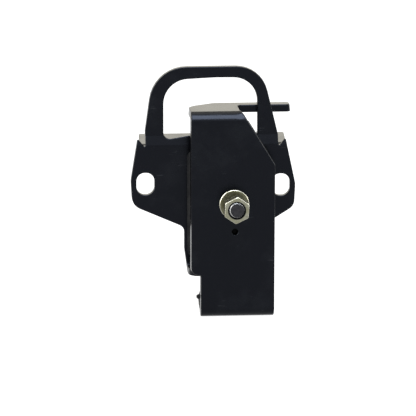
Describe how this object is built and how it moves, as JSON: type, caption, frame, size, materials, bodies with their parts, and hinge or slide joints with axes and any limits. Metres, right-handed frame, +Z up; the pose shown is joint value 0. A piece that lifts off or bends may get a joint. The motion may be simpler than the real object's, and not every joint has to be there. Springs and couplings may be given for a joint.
{
  "type": "engine mount",
  "caption": "Rubber-bonded engine mount: a slotted base plate with a hoop, a folded bracket hooked through it, and a threaded stud with washer and nut.",
  "frame": {"origin": "bottom centre of the bounding box, under the middle of the two plates, at the height of the bracket's lower fold", "axes": "+Z up towards the hoop, the longest extent. +Y from the stud towards the rear shelf, the shortest extent. +X towards the end of the hook tab."},
  "size_m": [0.1322, 0.0916, 0.1994],
  "materials": {
    "black_paint": "satin black paint over pressed steel",
    "moulded_rubber": "matt moulded rubber",
    "stud_steel": "dull dark steel",
    "yellow_zinc": "pale yellow passivated zinc plate"
  },
  "bodies": {
    "base": {"base_plate": "black_paint", "rear_shelf": "black_paint", "rubber_spring": "moulded_rubber"},
    "bracket": {"front_bracket": "black_paint", "stud": "stud_steel", "bump_stop": "moulded_rubber"},
    "washer": {"flat_washer": "yellow_zinc"},
    "nut": {"hex_nut": "yellow_zinc"}
  },
  "joints": [
    {"name": "mount_bounce", "type": "slide", "parent": "base", "child": "bracket", "axis": [0, 0, 1], "range_m": [-0.008, 0.008], "stiffness_N_per_m": 150000},
    {"name": "washer_slide", "type": "slide", "parent": "bracket", "child": "washer", "axis": [0, -1, 0], "range_m": [0, 0.013]},
    {"name": "nut_spin", "type": "hinge", "parent": "bracket", "child": "nut", "pos_m": [0.0148, -0.0406, 0.0926], "axis": [0, 1, 0], "continuous": true}
  ]
}
